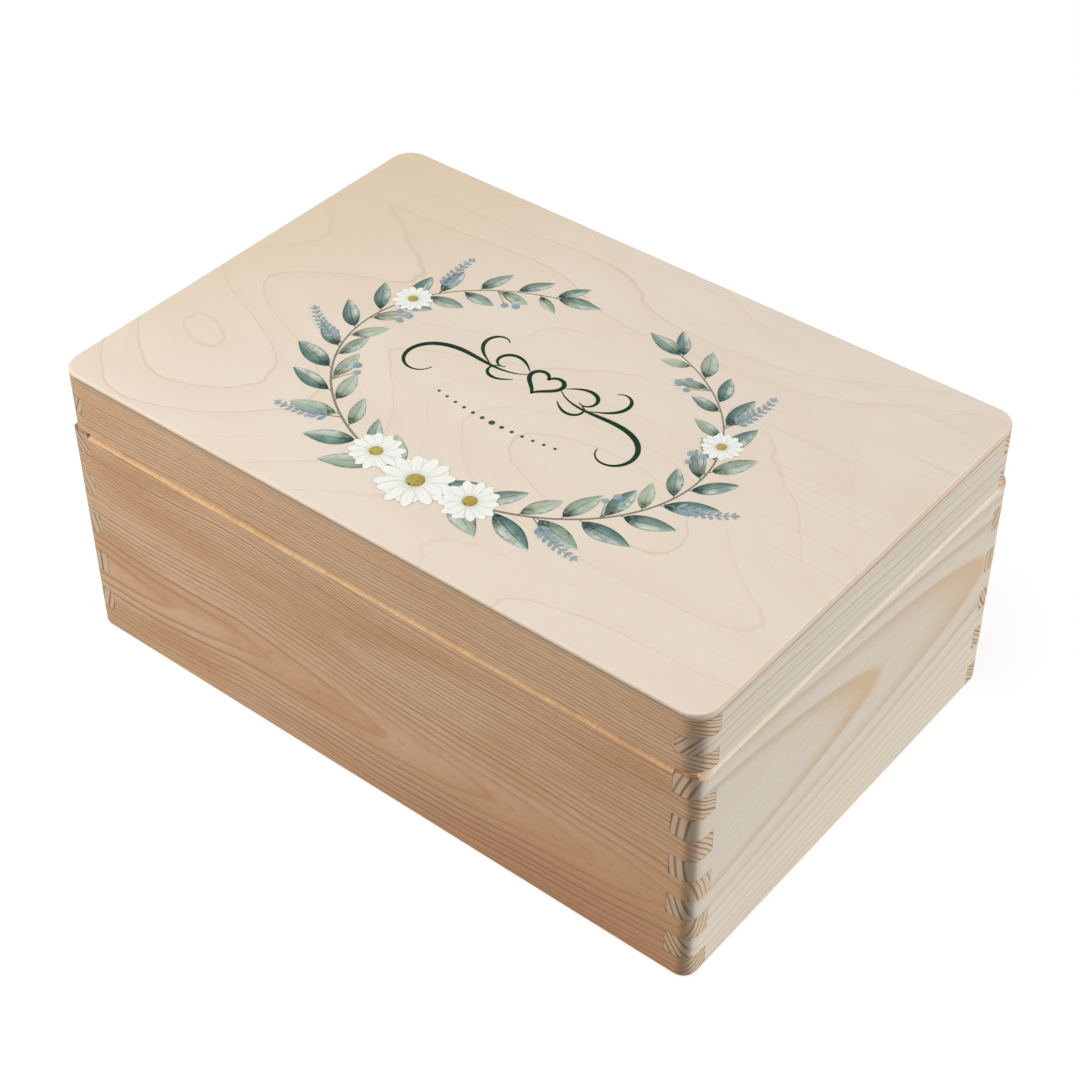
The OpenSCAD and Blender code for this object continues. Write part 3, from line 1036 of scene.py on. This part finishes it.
def daisy(petals, eyes, middle, radius, turn, draw):
    """A daisy with two rounds of narrow petals."""
    count = 13
    for round_number, reach in enumerate((1.0, 0.84)):
        for i in range(count):
            angle = turn + 2 * math.pi * (i + 0.5 * round_number) / count
            angle += draw.uniform(-0.07, 0.07)
            length = radius * reach * draw.uniform(0.93, 1.04)
            foot = (middle[0] + math.cos(angle) * radius * 0.1,
                    middle[1] + math.sin(angle) * radius * 0.1)
            blade(petals, foot, angle, length * 0.9, radius * 0.36, draw.uniform(-0.08, 0.08),
                  draw.random(), fullest=0.62, blunt=2.0)
    disc(eyes, middle, radius * 0.25, draw.random())
    for i in range(16):
        angle = i * GOLDEN_ANGLE
        reach = radius * 0.21 * math.sqrt((i + 0.5) / 16)
        spot = (middle[0] + math.cos(angle) * reach, middle[1] + math.sin(angle) * reach)
        disc(eyes, spot, radius * 0.032, draw.uniform(0.7, 1.0))


class KEEPSAKE_OT_leaves(BoxOperator, bpy.types.Operator):
    """Print the garland's stems and leaves on the lid"""

    bl_idname = "keepsake.leaves"
    bl_label = "Printed Leaves"

    PAIRS = 13

    def execute(self, context):
        look = self.settings(context).garland
        garland = Garland(look)
        draw = random.Random(12)
        stems = InkSheet("printed_stems", garland.base)
        leaves = InkSheet("printed_leaves", garland.base + 0.02)
        for side in (-1, 1):
            self.main_stem(stems, garland, side)
            for i in range(self.PAIRS):
                self.pair(stems, leaves, garland, side, i, draw)
            tip = garland.stem(garland.END_TURN, side)
            blade(leaves, tip, garland.heading(garland.END_TURN, side), garland.leaf * 0.8,
                  garland.leaf * 0.3, 0.05 * side, draw.random())
        stems.finish(watercolour_wash("stem_wash", look.stem, look.deep))
        leaves.finish(watercolour_leaf(look))
        return {"FINISHED"}

    def main_stem(self, stems, garland, side):
        steps = 60
        path = [garland.stem(garland.END_TURN * (0.03 + 0.97 * i / steps), side)
                for i in range(steps + 1)]
        ribbon(stems, path, tapering(len(path), 1.1, 0.45), 0.3)

    def pair(self, stems, leaves, garland, side, i, draw):
        """One leaf to each side of the stem, the outer one a little further on."""
        share = (i + 0.7) / self.PAIRS
        for outward in (1, -1):
            turn = garland.END_TURN * (share + (0.018 if outward > 0 else -0.014))
            turn += draw.uniform(-0.012, 0.012)
            foot = garland.stem(turn, side)
            heading = garland.heading(turn, side)
            spread = draw.uniform(0.62, 0.86) * (1 if outward > 0 else 1.12)
            angle = heading - side * outward * spread
            size = (1.0 - 0.34 * share) * draw.uniform(0.9, 1.08)
            size *= 1 if outward > 0 else 0.84
            stalk = 1.8 * size
            start = (foot[0] + math.cos(angle) * stalk, foot[1] + math.sin(angle) * stalk)
            ribbon(stems, [foot, start], [0.5, 0.4], 0.4)
            blade(leaves, start, angle, garland.leaf * size,
                  garland.leaf * size * draw.uniform(0.36, 0.43),
                  side * outward * draw.uniform(0.04, 0.14), draw.random(),
                  fullest=draw.uniform(0.42, 0.48), blunt=1.15)


class KEEPSAKE_OT_sprigs(BoxOperator, bpy.types.Operator):
    """Print dusty blue sprigs and berries between the leaves"""

    bl_idname = "keepsake.sprigs"
    bl_label = "Printed Sprigs"

    SPRIG_TURNS = (0.22, 0.47, 0.76)
    BERRY_TURNS = (0.34, 0.60, 0.88)

    def execute(self, context):
        look = self.settings(context).garland
        garland = Garland(look)
        draw = random.Random(5)
        stalks = InkSheet("printed_sprig_stalks", garland.base + 0.06)
        buds = InkSheet("printed_sprigs", garland.base + 0.10)
        for side in (-1, 1):
            for share in self.SPRIG_TURNS:
                self.sprig(stalks, buds, garland, side, garland.END_TURN * share, draw)
            for share in self.BERRY_TURNS:
                self.berries(stalks, buds, garland, side, garland.END_TURN * share, draw)
        stalks.finish(watercolour_wash("stalk_wash", look.stem, look.deep))
        buds.finish(watercolour_wash("sprig_wash", look.dusty_blue, look.deep_blue))
        return {"FINISHED"}

    def sprig(self, stalks, buds, garland, side, turn, draw):
        """A spike of small buds that leans out from the stem."""
        foot = garland.stem(turn, side)
        heading = garland.heading(turn, side) - side * 1.0
        path = bent_path(foot, heading, 25, side * 0.004, side * 0.03, 18)
        ribbon(stalks, path, tapering(len(path), 0.5, 0.25), 0.3)
        for i in range(4, len(path), 2):
            x, y = path[i]
            way = math.atan2(y - path[i - 1][1], x - path[i - 1][0])
            size = 1.0 - 0.5 * (i - 4) / (len(path) - 4)
            for lean in (-0.8, 0.8):
                blade(buds, (x, y), way + lean * draw.uniform(0.85, 1.1), 4.4 * size,
                      1.9 * size, 0.0, draw.random(), fullest=0.6, blunt=1.4)
        blade(buds, path[-1], way, 3.0, 1.3, 0.0, draw.random(), fullest=0.5, blunt=1.4)

    def berries(self, stalks, buds, garland, side, turn, draw):
        """Three berries on thin stalks, inside the oval."""
        foot = garland.stem(turn, side)
        heading = garland.heading(turn, side) + side * 0.9
        for lean, length, radius in ((-0.42, 10.5, 1.5), (0.0, 13.0, 1.7), (0.42, 9.5, 1.35)):
            path = bent_path(foot, heading + lean * 0.6, length, 0, lean * 0.07, 8)
            ribbon(stalks, path, tapering(len(path), 0.4, 0.28), 0.3)
            disc(buds, path[-1], radius, draw.random())


class KEEPSAKE_OT_flowers(BoxOperator, bpy.types.Operator):
    """Print the daisies at the foot of the garland"""

    bl_idname = "keepsake.flowers"
    bl_label = "Printed Flowers"

    def execute(self, context):
        look = self.settings(context).garland
        garland = Garland(look)
        draw = random.Random(8)
        radius = look.flower_radius / MM
        petals = InkSheet("printed_petals", garland.base + 0.15)
        eyes = InkSheet("printed_flower_eyes", garland.base + 0.20)
        foot_y = garland.stem(0, 1)[1]
        for x, y, size in ((-22, 4.2, 0.74), (22.5, 3.8, 0.78), (0, 0.5, 1.0)):
            daisy(petals, eyes, (x, foot_y + y), radius * size, draw.random(), draw)
        for side, share in ((1, 0.70), (-1, 0.70)):
            middle = garland.stem(garland.END_TURN * share, side)
            daisy(petals, eyes, middle, radius * 0.56, draw.random(), draw)
        petals.finish(petal_white(look))
        eyes.finish(watercolour_wash("eye_wash", look.eye, look.deep_eye))
        return {"FINISHED"}


class KEEPSAKE_OT_scrolls(BoxOperator, bpy.types.Operator):
    """Print the pen scrolls in the middle of the garland"""

    bl_idname = "keepsake.scrolls"
    bl_label = "Printed Scrolls"

    # Start, heading in degrees, length, bend at the start and at the end, width
    STROKES = (
        ((8.2, 0.8), -42, 74, 0.074, -0.177, 2.3),
        ((24.0, -2.4), 28, 27, -0.012, 0.275, 1.7),
        ((8.6, 2.8), 40, 26, 0.0, -0.345, 1.7),
        ((10.6, -5.0), -40, 19, 0.0, 0.39, 1.4),
    )
    HEART = 0.46
    RISE = 6.0

    def execute(self, context):
        look = self.settings(context).garland
        garland = Garland(look)
        scrolls = InkSheet("printed_scrolls", garland.base)
        for side in (-1, 1):
            for start, heading, length, bend_start, bend_end, width in self.STROKES:
                path = bent_path(start, math.radians(heading), length, bend_start, bend_end, 64)
                path = [(side * x, y + self.RISE) for x, y in path]
                ribbon(scrolls, path, swelling(len(path), 0.45, width), 0.5)
        self.heart(scrolls)
        dots = InkSheet("printed_dots", garland.base)
        for i in range(-6, 7):
            disc(dots, (i * 4.6, -24.0 + 0.07 * i * i), 0.55 + 0.75 / (1 + abs(i)), 0.5)
        scrolls.finish(pen_ink("green_ink", look.ink, look.teal))
        dots.finish(pen_ink("grey_green_ink", look.dots, look.teal))
        return {"FINISHED"}

    def heart(self, scrolls):
        """A heart drawn as one stroke that swells on its way round."""
        steps = 72
        path = []
        for i in range(steps + 1):
            t = 2 * math.pi * i / steps
            x = 16 * math.sin(t) ** 3
            y = 13 * math.cos(t) - 5 * math.cos(2 * t) - 2 * math.cos(3 * t) - math.cos(4 * t)
            path.append((x * self.HEART, y * self.HEART + self.RISE + 0.5))
        widths = [0.8 + 1.1 * abs(math.sin(math.pi * i / steps * 2)) for i in range(steps + 1)]
        ribbon(scrolls, path, widths, 0.5)


class KEEPSAKE_OT_stage(BoxOperator, bpy.types.Operator):
    """Set up the floor, the lamps, the sky and the camera"""

    bl_idname = "keepsake.stage"
    bl_label = "Stage"

    AIM = Vector((0, 0, 70)) * MM
    SLIDE = Vector((2.51, -9.171)) * MM
    # Name, place and size in metres, power in watts
    LAMPS = (
        ("top_softbox", (-0.10, -0.45, 1.6), 1.2, 13.5),
        ("left_softbox", (-0.62, -0.72, 0.38), 0.5, 4.7),
        ("right_softbox", (2.20, 1.00, 0.70), 1.2, 37.0),
    )
    LAMP_TARGET = Vector((0, 0, 60)) * MM
    FLOOR_REACH = 4.0
    FLOOR_DROP = 0.2 * MM

    def execute(self, context):
        look = self.settings(context).stage
        self.floor(look)
        for name, place, size, power in self.LAMPS:
            self.lamp(name, Vector(place), size, power)
        self.sky(context.scene, look)
        self.camera(context.scene, look)
        context.scene.view_settings.view_transform = "Standard"
        return {"FINISHED"}

    def floor(self, look):
        reach = self.FLOOR_REACH
        mesh = bpy.data.meshes.new("floor")
        corners = [(-reach, -reach), (reach, -reach), (reach, reach), (-reach, reach)]
        mesh.from_pydata([(x, y, -self.FLOOR_DROP) for x, y in corners], [], [(0, 1, 2, 3)])
        floor = bpy.data.objects.new("floor", mesh)
        bpy.context.scene.collection.objects.link(floor)
        shader = Shader("pale_floor")
        x, y, _ = shader.place()
        grain = shader.noise(x / 1.5, y / 1.5, 0.5, 2.0)
        tone = 1 + (grain - 0.5) * 0.02
        shader.show(Base_Color=shader.shade(opaque(look.floor), tone), Roughness=0.85)
        # What sees the floor directly, or in metal, sees it nearly white
        seen = self.straight_rays(shader)
        pale = shader.node("ShaderNodeEmission", None, {"Color": WHITE, "Strength": 0.80})
        matt = shader.node("ShaderNodeBsdfDiffuse", None, {"Color": (0.30, 0.30, 0.30, 1)})
        backdrop = shader.node("ShaderNodeAddShader", None, {0: pale, 1: matt})
        plain = Wire(shader, shader.surface.outputs[0])
        both = shader.node("ShaderNodeMixShader", None, {0: seen, 1: plain, 2: backdrop})
        output = shader.tree.nodes["Material Output"]
        shader.feed(output, "Surface", both)
        mesh.materials.append(shader.material)

    @staticmethod
    def straight_rays(shader):
        """1 for rays from the camera, and for those that metal or glass sends on."""
        camera, glossy, through = [
            shader.node("ShaderNodeLightPath", output=kind)
            for kind in ("Is Camera Ray", "Is Glossy Ray", "Is Transmission Ray")]
        return camera.at_least(glossy).at_least(through)

    def lamp(self, name, place, size, power):
        lamp = bpy.data.lights.new(name, "AREA")
        lamp.shape = "SQUARE"
        lamp.size = size
        lamp.energy = power
        holder = bpy.data.objects.new(name, lamp)
        holder.location = place
        holder.rotation_euler = (self.LAMP_TARGET - place).to_track_quat("-Z", "Y").to_euler()
        bpy.context.scene.collection.objects.link(holder)

    def sky(self, scene, look):
        """White where it is seen, and a dimmer light on the box."""
        scene.world = bpy.data.worlds.new("studio")
        shader = Shader("studio", scene.world)
        seen = self.straight_rays(shader)
        background = shader.tree.nodes["Background"]
        shader.feed(background, "Color", WHITE)
        shader.feed(background, "Strength", seen * (1 - look.sky) + look.sky)

    def camera(self, scene, look):
        azimuth, elevation = look.azimuth, look.elevation
        back = Vector((math.sin(azimuth) * math.cos(elevation),
                       -math.cos(azimuth) * math.cos(elevation), math.sin(elevation)))
        right = Vector((math.cos(azimuth), math.sin(azimuth), 0))
        up = back.cross(right)
        right, up = (right * math.cos(look.roll) + up * math.sin(look.roll),
                     up * math.cos(look.roll) - right * math.sin(look.roll))
        eye = bpy.data.cameras.new("camera")
        eye.lens = look.lens
        eye.sensor_width = 36
        eye.clip_start = 0.01
        holder = bpy.data.objects.new("camera", eye)
        place = self.AIM + right * self.SLIDE.x + up * self.SLIDE.y + back * look.distance
        turn = Matrix((right, up, back)).transposed().to_4x4()
        holder.matrix_world = Matrix.Translation(place) @ turn
        scene.collection.objects.link(holder)
        scene.camera = holder


class KEEPSAKE_PT_panel(bpy.types.Panel):
    """Lists the settings and the steps"""

    bl_idname = "KEEPSAKE_PT_panel"
    bl_label = "Keepsake Box"
    bl_space_type = "VIEW_3D"
    bl_region_type = "UI"
    bl_category = "Keepsake Box"

    def draw(self, context):
        settings = context.scene.keepsake
        for step in STEPS:
            self.layout.operator(step.bl_idname)
        for group in ("pine", "plywood", "hinge", "garland", "stage"):
            box = self.layout.box()
            box.label(text=group.title())
            choices = getattr(settings, group)
            for name in choices.bl_rna.properties.keys():
                if name not in ("rna_type", "name"):
                    box.prop(choices, name)


STEPS = (
    KEEPSAKE_OT_stage, KEEPSAKE_OT_boards, KEEPSAKE_OT_plywood, KEEPSAKE_OT_hinges,
    KEEPSAKE_OT_leaves, KEEPSAKE_OT_sprigs, KEEPSAKE_OT_flowers, KEEPSAKE_OT_scrolls,
)
CLASSES = (
    PineSettings, PlywoodSettings, HingeSettings, GarlandSettings, StageSettings,
    KeepsakeSettings, *STEPS, KEEPSAKE_PT_panel,
)


def register():
    for made in CLASSES:
        bpy.utils.register_class(made)
    bpy.types.Scene.keepsake = bpy.props.PointerProperty(
        type=KeepsakeSettings, name="Keepsake Box", description="Settings of the keepsake box")


def unregister():
    del bpy.types.Scene.keepsake
    for made in reversed(CLASSES):
        bpy.utils.unregister_class(made)


def main():
    register()
    bpy.ops.keepsake.stage()
    bpy.ops.keepsake.boards()
    bpy.ops.keepsake.plywood()
    bpy.ops.keepsake.hinges()
    bpy.ops.keepsake.leaves()
    bpy.ops.keepsake.sprigs()
    bpy.ops.keepsake.flowers()
    bpy.ops.keepsake.scrolls()


if __name__ == "__main__":
    main()
